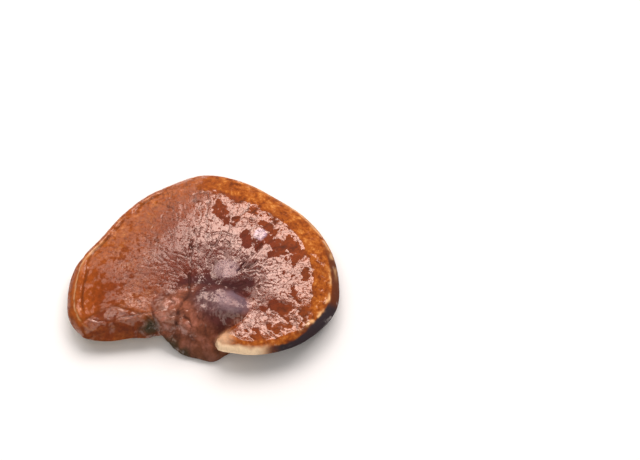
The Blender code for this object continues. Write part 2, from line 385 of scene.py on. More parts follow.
bark = fade(nearness(cap_tree, points) - nearness(stem_tree, points), -0.6, 1.8)
on_cap = 1.0 - bark
top = fade(facing, -0.15, 0.35)
level = fade(facing, 0.1, 0.4)
under = fade(facing, 0.0, -0.4) * on_cap
out = np.hypot(x - GROWTH_CENTRE[0], y - GROWTH_CENTRE[1])
turn = np.arctan2(y - GROWTH_CENTRE[1], x - GROWTH_CENTRE[0])
streak = np.column_stack((np.cos(turn), np.sin(turn), out / 90.0))
from_margin = distance_to_line(x, y, margin_line)
growth = out / (out + from_margin)
tongue_rim = fade(distance_to_line(x, y, TONGUE_EDGE), 4.5, 1.0)
left = fade(x, LEFT_LOBE_START, -34.0)
lip_side = fade(x, -14.0, -26.0) * fade(y, -1.0, 4.0) * top
below_fold = past_the_fold(x, y)
past_fold = fade(below_fold, -0.5, 2.5) * (x < LEFT_LOBE_START)
on_near_side = top * on_cap * fade(x, -62.0, -56.0) * fade(x, -20.0, -25.0)
calm = (1.0 - past_fold) * mound(x, y, *CALM_FIELD)
band_side = fade(x, -14.0, 10.0) * fade(y, 2.0, 20.0)
band_width = BAND_WIDTH - BAND_NARROWER[0] * fade(y, 14.0, -5.0) * fade(x, 0.0, 20.0)
band_width -= BAND_NARROWER[1] * left
band_edge = from_margin + 1.2 * wander + jitter
in_band = 1.0 - fade(band_edge, band_width - 0.7, band_width + 0.9)
in_band = in_band * (1.0 - 0.9 * fade(x, 14.0, -14.0)) * (1.0 - past_fold)
knoll = mound(x, y, *FAR_KNOLL)
hump = mound(x, y, *NEAR_HUMP)
blister = np.exp(-from_place(x, y, *BLISTER_PLACE) ** 3)
far_gleam = fade(from_place(x, y, *FAR_GLEAM) + 0.15 * jitter, 1.25, 0.8)
near_gleam = fade(from_place(x, y, *NEAR_GLEAM, NEAR_GLEAM_LEAN) + 0.15 * jitter, 1.3, 0.7)
gleam = np.maximum(far_gleam, near_gleam)

# Relief of the crust: it dried and shrank round its growing point, which left puffed wrinkles that
# run outwards, a fine crackle, low rings of growth, a shoulder inside the rim band and a few deep
# cracks. The smooth places, such as the domes and the calm field at the left, have little of it.
WRINKLE_DEPTH = 0.28
FINE_WRINKLE_DEPTH = 0.07
CRACKLE_DEPTH = 0.1
CRUMPLE_HEIGHT = 0.15
PEBBLE_HEIGHT = 0.03
RING_HEIGHT = 0.06
RINGS_TO_MARGIN = 5.5
SWELL_HEIGHT = 0.34
DOME_HEIGHT = 1.3
BLISTER_HEIGHT = 0.15
BAND_SHOULDER = 1.1
TONGUE_SWELL = 0.9
VALLEY = ((9.0, 15.5), (14.0, 15.6), (19.5, 17.0))
VALLEY_DEPTH = 0.5
VALLEY_WIDTH = 2.2
DOME_FOOT = ((12.4, 13.2), (16.8, 9.4))
DOME_FOOT_FILL = 0.8
DOME_FOOT_WIDTH = 1.3


def creases(scale_turn, scale_out, width, seed):
    """Thin creases that run outwards between flat-topped swellings: 1 in a crease, 0 between."""
    where = np.column_stack((streak[:, 0] * scale_turn, streak[:, 1] * scale_turn, out * scale_out))
    where = where + 0.35 * np.column_stack((jitter, wander, jitter))
    return 1.0 - np.minimum(np.abs(uneven(where, 1.0, seed)) / width, 1.0) ** 0.8


near = 1.0 - fade(out, 16.0, 40.0)
wide_creases = near * creases(5.0, 0.09, 0.09, 4) + (1.0 - near) * creases(8.5, 0.08, 0.09, 5)
fine_creases = near * creases(12.0, 0.2, 0.14, 6) + (1.0 - near) * creases(24.0, 0.2, 0.14, 7)
crackle = 1.0 - np.minimum(np.abs(uneven(points + 0.8 * jitter[:, None], 6.5, 18)) / 0.07, 1.0) ** 0.8
crackle = crackle * fade(uneven(points, 11.0, 22), -0.2, 0.2)
rings = np.sin(2 * math.pi * (growth * RINGS_TO_MARGIN + 0.25 * wander))
rough = without((0.9, calm), (0.75, in_band), (0.65, left), (0.8, np.maximum(knoll, hump)), (0.75, gleam))
beyond_middle = fade(out, 5.0, 13.0)
torn = 0.35 + 0.65 * fade(uneven(points, 8.0, 23), -0.25, 0.25)
sunken = WRINKLE_DEPTH * torn * wide_creases + FINE_WRINKLE_DEPTH * fine_creases + CRACKLE_DEPTH * crackle
raised = CRUMPLE_HEIGHT * uneven(points, 4.5, 8) + PEBBLE_HEIGHT * pebbles + RING_HEIGHT * rings
relief = rough * (raised - beyond_middle * sunken)
relief += SWELL_HEIGHT * uneven(points, 13.0, 10) * (1.0 - 0.6 * in_band)
valley = bell(distance_to_line(x, y, VALLEY), VALLEY_WIDTH)
relief += DOME_HEIGHT * (knoll + hump) + BLISTER_HEIGHT * blister - VALLEY_DEPTH * valley
relief += DOME_FOOT_FILL * bell(distance_to_line(x, y, DOME_FOOT), DOME_FOOT_WIDTH)
relief *= top

# The raised lip along the left margin with its groove inside, and the roll and crease of the fold
LIP_HEIGHT = 0.9
LIP_REACH = (4.0, 7.2)       # groove's distance from the margin, upper left and left end
LIP_START = (0.8, 3.2)
LIP_TURN = (34.0, 22.0)
GROOVE_DEPTH = 0.4
GROOVE_WIDTH = 0.32
FOLD_HEIGHT = 1.2
FOLD_ROLL_AT = 5.2
FOLD_ROLL_WIDTH = 3.4
FOLD_CREASE_DEPTH = 0.35
FOLD_CREASE_WIDTH = 0.8
to_left_end = fade(y, *LIP_TURN)
edge = from_margin + 0.5 * wander + 0.25 * jitter
lip_reach = LIP_REACH[0] + (LIP_REACH[1] - LIP_REACH[0]) * to_left_end
lip_start = LIP_START[0] + (LIP_START[1] - LIP_START[0]) * to_left_end
lip = fade(edge, lip_start, lip_start + 1.3) * (1.0 - fade(edge, lip_reach - 0.9, lip_reach + 0.2))
groove = bell(edge - lip_reach, GROOVE_WIDTH) * fade(uneven(points, 7.0, 21), -0.45, -0.05)
relief += lip_side * (LIP_HEIGHT * lip - GROOVE_DEPTH * groove)
shoulder = np.where(edge < band_width, edge / band_width, np.exp(-(edge - band_width) / 9.0))
relief += BAND_SHOULDER * band_side * top * shoulder
tongue_middle = bell(y + 9.0, 7.0) * fade(x, 8.0, 18.0) * fade(x, 52.0, 42.0)
relief += TONGUE_SWELL * tongue_middle * top * on_cap
fold_roll = bell(below_fold - FOLD_ROLL_AT, FOLD_ROLL_WIDTH) * (0.9 + 0.6 * uneven(points, 7.0, 26))
fold_crease = bell(below_fold + 0.2 + 0.5 * jitter, FOLD_CREASE_WIDTH)
fold_crease *= fade(uneven(points, 6.0, 27), -0.4, 0.1)
relief += on_near_side * (FOLD_HEIGHT * fold_roll - FOLD_CREASE_DEPTH * fold_crease)

# Deep cracks, each with its depth, and the shallow places where the crust is thin and dull
CRACK_WIDTH = 0.5
CRACKS = (
    (0.6, ((-6.1, 37.4), (-6.7, 25.7), (-7.0, 11.3), (-10.0, 7.5), (-11.8, 3.7), (-12.4, -2.0))),
    (0.55, ((-9.0, 0.8), (-7.5, -1.5), (-6.0, -3.3))),
    (0.55, ((2.2, 40.6), (6.7, 41.1), (11.8, 39.9))),
    (0.5, ((6.8, 39.2), (5.0, 36.9), (3.3, 34.2))),
    (0.6, ((25.0, 36.0), (22.8, 32.9), (18.4, 27.3), (14.3, 22.2))),
    (0.5, ((23.2, 27.3), (20.7, 25.9), (18.2, 23.9))),
)
# Middle x and y, half lengths, turn in degrees
THIN_PLACES = (
    (17.4, 38.0, 2.6, 5.0, 10.0),
    (6.9, 51.8, 3.4, 7.0, 12.0),
    (27.5, 44.5, 5.5, 2.4, -35.0),
    (27.4, 38.2, 9.0, 1.2, 39.0),
    (31.5, 32.3, 8.0, 1.1, 39.0),
    (40.5, 31.0, 2.0, 6.0, -10.0),
    (44.6, 21.0, 1.6, 4.0, 0.0),
    (39.7, 12.1, 1.6, 4.0, 10.0),
    (44.0, 4.0, 3.0, 1.6, 30.0),
    (33.0, 5.0, 5.0, 1.2, -20.0),
)
THIN_DEPTH = 0.2
crooked_x = x + 0.9 * jitter + 0.8 * wander
crooked_y = y + 0.9 * uneven(points, 2.6, 3) + 0.8 * wander
crack = np.zeros(len(points))
for depth, line in CRACKS:
    crack = np.maximum(crack, depth * bell(distance_to_line(crooked_x, crooked_y, line), CRACK_WIDTH))
crack *= np.maximum(fade(uneven(points, 6.0, 17), -0.35, 0.05), 0.45 + 0.35 * bark)
relief -= crack * fade(facing, -0.1, 0.2)
thin = np.zeros(len(points))
for mid_x, mid_y, half_x, half_y, tilt in THIN_PLACES:
    cos_t, sin_t = math.cos(math.radians(tilt)), math.sin(math.radians(tilt))
    off_x, off_y = x - mid_x + 2.0 * wander + pebbles, y - mid_y + 1.6 * jitter + specks
    across = np.hypot((off_x * cos_t + off_y * sin_t) / half_x, (off_y * cos_t - off_x * sin_t) / half_y)
    thin = np.maximum(thin, 1.0 - fade(across, 0.75, 1.05))
bare_where = np.column_stack((streak[:, 0] * 6.0, streak[:, 1] * 6.0, out * 0.12))
bare = uneven(bare_where, 1.0, 19) + 0.35 * jitter + 0.25 * pebbles
bare = fade(bare, 0.2, 0.32) * fade(growth, 0.45, 0.58) * fade(growth, 0.95, 0.88) * fade(x, -4.0, 8.0)
thin = np.maximum(thin, bare) * top
relief -= THIN_DEPTH * thin

# Relief of the stem's bark, in fine upright furrows and lumps, and of the pore surface underneath
BARK_FURROW = 0.14
BARK_LUMP = 0.3
BARK_GRAIN = 0.14
PORE_UNEVENNESS = 0.12
FOOT_FADE = (0.3, 2.5)       # heights between which the relief sets in over the flat cut
bark_where = np.column_stack((streak[:, 0] * 9.0, streak[:, 1] * 9.0, z * 0.12))
bark_furrows = 1.0 - np.minimum(np.abs(uneven(bark_where, 1.0, 12)) / 0.2, 1.0)
bark_relief = BARK_LUMP * uneven(points, 4.0, 13) + BARK_GRAIN * uneven(points, 1.6, 14)
bark_relief -= BARK_FURROW * bark_furrows * beyond_middle
relief += bark * (1.0 - 0.5 * top) * bark_relief
relief *= fade(z, *FOOT_FADE)
relief += PORE_UNEVENNESS * under * uneven(points, 6.0, 15)

# The narrow gap left between the near dome and the cap is grown over, and the cut stays flat
GAP_LINE = ((8.5, 14.3), (10.5, 13.4), (14.0, 11.7), (17.6, 8.4))
GAP_REACH = (2.4, 1.5)
CUT_HEIGHT = 0.02
moved = points + normals * relief[:, None]
in_gap = fade(distance_to_line(x, y, GAP_LINE), *GAP_REACH) * fade(z, 8.0, 8.8) * fade(facing, -0.95, -0.7)
grown_over = 14.9 + 0.25 * np.clip(13.0 - y, 0.0, 5.0)
moved[:, 2] += in_gap * np.maximum(grown_over - moved[:, 2], 0.0)
moved[:, 2] = np.where(z < CUT_HEIGHT, 0.0, np.maximum(moved[:, 2], 0.0))
smooth_skin = skin_mesh.copy()
skin_mesh.vertices.foreach_set("co", (moved * MM).ravel())
skin_mesh.update()

# Marks of the finish, from 0 to 1 at each point, which the material reads. Creases are darkened as
# painted shade, the lacquer shines where it is thick, and the margin is the youngest and palest part.
# Dark olive patches on the bark: x, y, z and reach. The first, in the corner under the stem's
# shoulder, is painted shadow; the other two darken the foot.
OLIVE_PATCHES = ((-24.0, -0.3, 10.5, 7.0), (-15.0, -7.5, 4.0, 8.0), (-9.5, -10.5, 2.5, 6.0))
# Places in plan: middle x and y, half lengths or, where they are about 1, stretch in x and y
DULL_MIDDLE = (2.0, 11.0, 1.3, 1.0)
DARK_SADDLE = (-4.0, 13.0, 1.3, 1.0)
DARK_MIDDLE = (7.0, 10.0, 0.95, 1.15)
NEAR_DOME = (7.0, 8.5, 14.0, 6.2)
SHINY_KNOLL = (9.5, 23.0, 5.4772, 5.4772)
SHINY_RIGHT = (29.0, 6.5, 8.0, 4.5)
TONGUE_TIP = (5.5, -9.0)

# Painted shade in creases, cracks, grooves and furrows, and painted sheen as pale flecks at the upper left
painted_sheen_flecks = top * on_cap * fade(from_margin, 17.0, 8.0) * fade(x, 12.0, -8.0) * fade(y, 16.0, 30.0)
hollows = np.maximum(wide_creases, 0.45 * crackle) * (1.0 - 0.6 * painted_sheen_flecks)
crease_shade = (0.75 * hollows + 0.35 * fine_creases) * rough * beyond_middle * top + 1.3 * crack
crease_shade += 0.7 * lip_side * groove + 0.35 * on_near_side * fold_crease
crease_shade = np.clip(crease_shade + 0.6 * bark * (1.0 - top) * bark_furrows, 0.0, 1.0)

# The cream edge and tip of the lobe in front, a painted shadow on the margin right of it and on the
# underside there, the pale rim line at the right, and painted highlight lines on the far rim and left lip
tongue_side = on_cap * fade(x, 3.0, 7.0) * fade(x, 31.0, 22.0) * fade(y, -3.0, -7.0)
cream_edge = tongue_side * fade(from_margin + 0.6 * jitter + 0.6 * wander, 3.2, 1.2) * fade(z, 8.0, 10.0)
cream_tip = on_cap * fade(np.hypot(x - TONGUE_TIP[0], y - TONGUE_TIP[1]), 10.0, 3.0) * fade(x, 2.0, 5.0)
cream = np.maximum(cream_edge, 0.4 * cream_tip)
shadow_width = 2.2 + 1.8 * fade(x, 40.0, 50.0)
shadow_edge = fade(from_margin + 0.5 * jitter, shadow_width, shadow_width - 0.9)
shadow_edge *= fade(x, 25.0, 34.0) * fade(y, 10.0, 6.0)
shadow_below = fade(x, 16.0, 30.0) * fade(y, 12.0, 4.0) * fade(facing, 0.3, -0.1)
painted_shadow = on_cap * np.maximum(shadow_edge, shadow_below)
# Painted shade on the cap's right flank
shaded_flank = on_cap * fade(x, 36.0, 48.0) * fade(y, 40.0, 28.0) * fade(from_margin, 4.0, 3.2)
gaps = uneven(points, 3.0, 20)
right_line = bell(from_margin - 4.2 + jitter + 0.6 * pebbles, 0.65)
right_line *= fade(x, 38.0, 48.0) * fade(y, 29.0, 20.0)
# Painted highlight lines: along the far rim, and on the outer wall of the left lip
far_highlight_line = bell(from_margin - 1.3 + 0.6 * jitter, 0.8) * fade(x, 6.0, 22.0) * fade(y, 18.0, 28.0)
lip_highlight_line = bell(edge - LIP_START[1] - 0.3, 0.4) * fade(x, -44.0, -50.0) * fade(y, -4.0, 2.0)
rim_line_and_highlights = level * np.maximum.reduce((
    right_line * fade(gaps, -0.35, 0.2),
    0.55 * far_highlight_line * fade(uneven(points, 3.5, 28), -0.4, 0.1),
    0.45 * lip_highlight_line * fade(gaps, -0.5, 0.0)))

# Colour by growth: 0 is the purple-black growing point, 1 the ochre margin
near_slope = past_fold * on_cap
dark_saddle = fade(from_place(x, y, *DARK_SADDLE), 10.5, 5.0)
# The valley between the domes is darkened as painted shade
darker = 0.25 * valley + 0.03 * thin + 0.1 * in_band + 0.22 * dark_saddle
darker += 0.15 * left * fade(from_margin, 4.0, 0.5)
ripeness = (growth - darker) * on_cap + 0.12 * bark
ripeness += 0.3 * tongue_rim * on_cap - 0.4 * near_slope * (0.5 + 0.5 * fade(from_margin, 0.8, 3.0))
# Olive on the bark: darker towards the foot, and painted shadow in the corner under the shoulder
olive = 0.4 * fade(z, 11.0, 3.0) * bark
for patch_x, patch_y, patch_z, reach in OLIVE_PATCHES:
    apart = np.sqrt((x - patch_x) ** 2 + (y - patch_y) ** 2 + (z - patch_z) ** 2) + 1.2 * jitter
    olive = np.maximum(olive, fade(apart, reach, 0.25 * reach))
dark_middle = fade(from_place(x, y, *DARK_MIDDLE) + 2.5 * wander, 16.0, 9.0)
# The rim band's own ochre grain, and at the upper left pale flecks that are painted sheen
grainy = np.clip(np.maximum(in_band, 0.25 * painted_sheen_flecks) - calm + 0.25 * left, 0.0, 1.0)

# Shine: strong on the plateau, the domes and the fold, broken on the left lobe, none in the band
dull_middle = fade(from_place(x, y, *DULL_MIDDLE), 19.0, 9.0)
dull_middle *= 1.0 - 0.9 * np.maximum(mound(x, y, *SHINY_KNOLL), hump)
patches = uneven(points, 5.0, 25)
fold_shine = 0.15 + 0.85 * fade(below_fold, 6.5, 4.5) * fade(patches, -0.3, 0.1)
gloss = 1.15 * without((0.9, thin), (0.95, in_band), (0.85, calm), (0.35, left), (0.75, dull_middle),
                       (0.3, dark_saddle))
gloss = (gloss * (1.0 - near_slope) + near_slope * fold_shine) * (1.0 - 0.8 * valley)
gloss = np.maximum(gloss, 0.45 * lip_side * lip)
gloss *= without((0.8, shaded_flank), (0.5, painted_shadow), (1.0, under), (1.0, cream_edge))
gloss *= 1.0 - bark * (1.0 - 0.9 * fade(z, 5.0, 16.0))
fold_strip = on_near_side * fade(np.abs(below_fold - 1.9), 3.4, 2.0) * fade(patches, -0.2, 0.1)
gloss = np.maximum.reduce((gloss, 1.4 * blister, 1.05 * gleam, 1.1 * fold_strip))
gloss += 0.5 * mound(x, y, *SHINY_RIGHT) - 0.6 * crease_shade
gloss -= 0.5 * np.maximum.reduce((in_band, thin, shaded_flank, painted_shadow))
near_dome = fade(from_place(x, y, *NEAR_DOME) + 0.12 * jitter, 1.15, 0.5) * (0.5 + 0.5 * fade(x, 0.0, 11.0))
gloss = np.maximum(gloss, 1.1 * near_dome * (1.0 - 0.6 * crease_shade))

speckled = np.clip(left + 0.8 * fade(x, 4.0, -14.0) * fade(y, 0.0, 8.0), 0.0, 1.0)

marks = {
    "speckled": speckled * (1.0 - near_slope),
    # Lilac over the domes is painted sheen; the same mark makes their lacquer softer
    "dome_sheen": np.maximum(near_dome, 0.65 * gleam) * top,
    "growth": ripeness,
    "crease_shade": crease_shade,
    "bark": bark * (1.0 - 0.9 * dark_middle),
    "cream": cream,
    "painted_shadow": painted_shadow,
    "pores": under * (1.0 - cream_edge),
    "cut": fade(z, 0.4, 0.1) * fade(facing, -0.5, -0.9),
    "rim_line_and_highlights": rim_line_and_highlights,
    "gloss": gloss,
    "wrinkled": fade(out, 8.0, 20.0) * top * without((0.8, calm), (0.8, in_band), (0.3, left), (0.7, knoll),
                                                     (1.0, bark), (1.0, blister), (0.5, gleam)),
    "satin": top * without((0.8, in_band), (0.8, calm), (1.0, cream_edge), (1.0, painted_shadow), (0.2, bark)),
    "olive": olive,
    "grainy": grainy * top * (1.0 - cream) * on_cap,
    "shaded_flank": shaded_flank,
    "streak": streak,
    # The blister and the gleams are lightened as painted highlights
    "highlight_spot": np.maximum(fade(blister + 0.25 * jitter, 0.15, 0.5), 0.18 * gleam * (0.75 + 0.6 * jitter)),
}

# Crust of a dried reishi: a thin natural lacquer of spore dust and resin over corky flesh. The eye
# sees a deep red-brown that goes from purple-black at the stem to ochre at the margin, with glossy
# patches that break up at dull islands, creases and specks. The bark is the same skin, gone matte.
CRUST_STOPS = (
    (0.0, "#331620"), (0.2, "#441A21"), (0.34, "#5C201A"), (0.5, "#6C2813"),
    (0.65, "#7A330F"), (0.8, "#8A3F0F"), (0.92, "#9F4E12"), (1.0, "#B66C22"),
)
FLECK_STOPS = ((0.52, "#5E2A0C"), (0.63, "#8C4612"), (0.73, "#A85E1E"), (0.85, "#D0924C"))
BARK_STOPS = ((0.32, "#4C2A22"), (0.5, "#7A4632"), (0.66, "#9A6354"))
PORE_STOPS = ((0.15, "#6E4A2B"), (0.4, "#B08A5C"), (0.7, "#C09A6A"))
# Painted light among these colours: the shaded flank's brown, the dark purple shadow, the lilac sheen, the
# lavender highlight, the buff where it makes highlight lines, and the crease and line browns, which are
# painted shade
CREAM = "#FBE0BC"
SHADED_FLANK_BROWN = "#5A2C17"
OLIVE = "#34301F"
SHADOW_PURPLE = "#25262F"
CUT_WOOD = "#8A6A48"
RIM_BUFF = "#E6BC88"
SHEEN_LILAC = "#62545F"
HIGHLIGHT_LAVENDER = "#A994A8"
CREASE_SHADE_BROWN = "#2A1210"
LINE_SHADE_BROWN = "#3A140E"
LACQUER_TINT = "#FFBCA4"
LACQUER_IOR = 1.65
COAT_IOR = 1.8


def srgb(code):
    """Linear colour of an sRGB hex code."""
    parts = [int(code[k:k + 2], 16) / 255 for k in (1, 3, 5)]
    return (*(p / 12.92 if p <= 0.04045 else ((p + 0.055) / 1.055) ** 2.4 for p in parts), 1.0)


def per(size):
    """Scale of a pattern whose features are this many millimetres apart."""
    return 1.0 / (size * MM)


def add(tree, kind, inputs, stops=None, **settings):
    """Adds a node with its settings, and gives each input a value or a link."""
    made = tree.nodes.new(kind)
    for name, value in settings.items():
        setattr(made, name, value)
    for key, value in inputs.items():
        if isinstance(value, bpy.types.NodeSocket):
            tree.links.new(value, made.inputs[key])
        else:
            made.inputs[key].default_value = value
    if stops:
        band = made.color_ramp
        while len(band.elements) < len(stops):
            band.elements.new(1.0)
        for element, (position, code) in zip(band.elements, stops):
            element.position = position
            element.color = srgb(code)
    return made.outputs


crust = bpy.data.materials.new("dried_reishi_crust")
crust.use_nodes = True
tree = crust.node_tree
tree.nodes.clear()
mark = {name: add(tree, "ShaderNodeAttribute", {}, attribute_name=name)["Fac"]
        for name in marks if name != "streak"}
outward = add(tree, "ShaderNodeAttribute", {}, attribute_name="streak")["Vector"]
place = add(tree, "ShaderNodeTexCoord", {})["Object"]

# Ground colour: the tone of growth, shifted in patches and outward streaks, and finely specked
patch = add(tree, "ShaderNodeTexNoise", {"Vector": place, "Scale": per(14.0), "Detail": 4.0})["Fac"]
speck = add(tree, "ShaderNodeTexNoise", {"Vector": place, "Scale": per(1.6), "Detail": 3.0})["Fac"]
streaks = add(tree, "ShaderNodeTexNoise", {"Vector": outward, "Scale": 14.0, "Detail": 5.0,
                                           "Roughness": 0.6})["Fac"]
grown = add(tree, "ShaderNodeMath", {0: patch, 1: 0.16, 2: mark["growth"]}, operation="MULTIPLY_ADD")[0]
grown = add(tree, "ShaderNodeMath", {0: streaks, 1: 0.14, 2: grown}, operation="MULTIPLY_ADD")[0]
grown = add(tree, "ShaderNodeMath", {0: grown, 1: 0.15}, operation="SUBTRACT")[0]
colour = add(tree, "ShaderNodeValToRGB", {"Fac": grown}, stops=CRUST_STOPS)["Color"]
shade = add(tree, "ShaderNodeMapRange", {"Value": speck, "From Min": 0.3, "From Max": 0.7,
                                         "To Min": 0.64, "To Max": 0.97})[0]
colour = add(tree, "ShaderNodeVectorMath", {0: colour, "Scale": shade}, operation="SCALE")[0]

# Patterned tones: the rim band's ochre grain, the mottled bark, and the pores, which are drawn
# 0.7 mm apart, wider than real ones, so that they show at all
flecks = add(tree, "ShaderNodeTexNoise", {"Vector": place, "Scale": per(4.5), "Detail": 8.0,
                                          "Roughness": 0.78})["Fac"]
flecks = add(tree, "ShaderNodeMath", {0: speck, 1: 0.35, 2: flecks}, operation="MULTIPLY_ADD")[0]
fleck_tone = add(tree, "ShaderNodeValToRGB", {"Fac": flecks}, stops=FLECK_STOPS)["Color"]
mottle = add(tree, "ShaderNodeTexNoise", {"Vector": place, "Scale": per(5.0), "Detail": 5.0,
                                          "Roughness": 0.6})["Fac"]
bark_tone = add(tree, "ShaderNodeValToRGB", {"Fac": mottle}, stops=BARK_STOPS)["Color"]
pore_cells = add(tree, "ShaderNodeTexVoronoi", {"Vector": place, "Scale": per(0.7)})["Distance"]
pore_tone = add(tree, "ShaderNodeValToRGB", {"Fac": pore_cells}, stops=PORE_STOPS)["Color"]


def thin_lines(where, scale, width):
    """Thin wandering lines where a noise passes its middle: 1 on a line."""
    height = add(tree, "ShaderNodeTexNoise", {"Vector": where, "Scale": scale, "Detail": 1.5,
                                              "Distortion": 0.3})["Fac"]
    off = add(tree, "ShaderNodeMath", {0: height, 1: 0.5}, operation="SUBTRACT")[0]
    off = add(tree, "ShaderNodeMath", {0: off}, operation="ABSOLUTE")[0]
    return add(tree, "ShaderNodeMapRange", {"Value": off, "From Min": 0.0, "From Max": width,
                                            "To Min": 1.0, "To Max": 0.0})[0]


outward_lines = thin_lines(outward, 13.0, 0.016)
cross_lines = thin_lines(place, per(10.0), 0.007)
lines = add(tree, "ShaderNodeMath", {0: outward_lines, 1: cross_lines}, operation="MAXIMUM")[0]
lines = add(tree, "ShaderNodeMath", {0: lines, 1: mark["wrinkled"]}, operation="MULTIPLY")[0]

# The tones are laid one over the other, each as strong as its mark there times its share
# The flank, shadow, dome sheen, highlight spot, highlight lines and crease tones below are painted light
for tone, name, share in (
        (fleck_tone, "grainy", 0.85), (bark_tone, "bark", 1.0), (pore_tone, "pores", 1.0),
        (srgb(CREAM), "cream", 1.0), (srgb(SHADED_FLANK_BROWN), "shaded_flank", 1.0), (srgb(OLIVE), "olive", 1.0),
        (srgb(SHADOW_PURPLE), "painted_shadow", 1.0), (srgb(CUT_WOOD), "cut", 1.0), (srgb(RIM_BUFF), "rim_line_and_highlights", 1.0),
        (srgb(SHEEN_LILAC), "dome_sheen", 0.55), (srgb(HIGHLIGHT_LAVENDER), "highlight_spot", 1.0),
        (srgb(CREASE_SHADE_BROWN), "crease_shade", 0.85)):
    cover = add(tree, "ShaderNodeMath", {0: mark[name], 1: share}, operation="MULTIPLY")[0]
    colour = add(tree, "ShaderNodeMix", {0: cover, 6: colour, 7: tone}, data_type="RGBA")[2]
# The thin lines are darkened as painted shade in the sunk wrinkles
line_cover = add(tree, "ShaderNodeMath", {0: lines, 1: 0.55}, operation="MULTIPLY")[0]
colour = add(tree, "ShaderNodeMix", {0: line_cover, 6: colour, 7: srgb(LINE_SHADE_BROWN)}, data_type="RGBA")[2]

# The shine is broken: where the mark is between dull and glossy, small glossy flecks are left, and
# dust and thin lines take the shine off in specks. The lacquer under the domes' sheen is softer.
broken = add(tree, "ShaderNodeTexNoise", {"Vector": place, "Scale": per(3.2), "Detail": 2.5,
                                          "Roughness": 0.5})["Fac"]
broken = add(tree, "ShaderNodeMath", {0: broken, 1: 2.6, 2: mark["gloss"]}, operation="MULTIPLY_ADD")[0]
broken = add(tree, "ShaderNodeMath", {0: streaks, 1: 1.2, 2: broken}, operation="MULTIPLY_ADD")[0]
shine = add(tree, "ShaderNodeMapRange", {"Value": broken, "From Min": 2.2, "From Max": 2.45})[0]
dust = add(tree, "ShaderNodeTexNoise", {"Vector": place, "Scale": per(1.1), "Detail": 3.0,
                                        "Roughness": 0.6})["Fac"]
clean = add(tree, "ShaderNodeMapRange", {"Value": dust, "From Min": 0.36, "From Max": 0.47})[0]
even = add(tree, "ShaderNodeMath", {0: mark["speckled"], 1: -0.5, 2: 1.0}, operation="MULTIPLY_ADD")[0]
unlined = add(tree, "ShaderNodeMath", {0: lines, 1: -0.65, 2: 1.0}, operation="MULTIPLY_ADD")[0]
for kept in (clean, even, unlined):
    shine = add(tree, "ShaderNodeMath", {0: shine, 1: kept}, operation="MULTIPLY")[0]
matte = add(tree, "ShaderNodeMapRange", {"Value": mark["satin"], "To Min": 0.95, "To Max": 0.74})[0]
polished = add(tree, "ShaderNodeMath", {0: mark["dome_sheen"], 1: 0.2, 2: 0.16}, operation="MULTIPLY_ADD")[0]
roughness = add(tree, "ShaderNodeMix", {0: shine, 2: matte, 3: polished}, data_type="FLOAT")[0]
coat = add(tree, "ShaderNodeMath", {0: mark["dome_sheen"], 1: -0.5, 2: 0.7}, operation="MULTIPLY_ADD")[0]
coat = add(tree, "ShaderNodeMath", {0: shine, 1: coat}, operation="MULTIPLY")[0]

# Fine bumps about 0.9 mm apart, and the thin lines sunk between them, roughen crust and lacquer
fine = add(tree, "ShaderNodeTexNoise", {"Vector": place, "Scale": per(0.9), "Detail": 4.0,
                                        "Roughness": 0.6})["Fac"]
fine = add(tree, "ShaderNodeMath", {0: lines, 1: -0.6, 2: fine}, operation="MULTIPLY_ADD")[0]
bumped = add(tree, "ShaderNodeBump", {"Strength": 0.45, "Distance": 0.16 * MM, "Height": fine})["Normal"]
lacquer = add(tree, "ShaderNodeBsdfPrincipled", {
    "Base Color": colour, "Roughness": roughness, "IOR": LACQUER_IOR, "Specular IOR Level": 0.35,
    "Specular Tint": srgb(LACQUER_TINT), "Coat Weight": coat, "Coat Roughness": 0.1, "Coat IOR": COAT_IOR,
    "Normal": bumped, "Coat Normal": bumped})
add(tree, "ShaderNodeOutputMaterial", {"Surface": lacquer[0]})

# Cap and stem, told apart: they are one growth, so the skin is parted along the corner where they
# meet. The divider is the stem's own form, a little larger, so both pieces are closed and share one
# wall inside, which follows the skin's relief near the surface.
DIVIDER_GROWTH = 0.35
WALL_SINK = 4.0              # depth over which the inner wall follows the skin above it
SKIN_DEPTH = 0.01            # points no deeper than this lie on the skin
divider_form = bmesh.new()
divider_form.from_mesh(stem_mesh)
divider_form.normal_update()
for point in divider_form.verts:
    point.co += point.normal * DIVIDER_GROWTH * MM
divider_mesh = bpy.data.meshes.new("divider")
divider_form.to_mesh(divider_mesh)
smooth_skin.calc_loop_triangles()
corners = np.empty(len(smooth_skin.loop_triangles) * 3, dtype=np.int32)
smooth_skin.loop_triangles.foreach_get("vertices", corners)
corners = corners.reshape(-1, 3)
smooth_points = read_points(smooth_skin)
finished_points = read_points(skin_mesh)
finished_normals = read_points(skin_mesh, "normal")
smooth_tree = BVHTree.FromPolygons(smooth_points.tolist(), corners.tolist())


def parted(name, operation):
    """The share of the smooth skin inside or outside the divider, as a closed mesh."""
    whole = bpy.data.objects.new(name, smooth_skin.copy())
    divider = bpy.data.objects.new("divider", divider_mesh)
    for thing in (whole, divider):
        bpy.context.scene.collection.objects.link(thing)
    parting = whole.modifiers.new("parting", "BOOLEAN")
    parting.operation = operation
    parting.solver = "MANIFOLD"
    parting.object = divider
    mesh = finished_mesh(whole)
    mesh.name = name
    for thing in (whole, divider):
        bpy.data.objects.remove(thing)
    return mesh


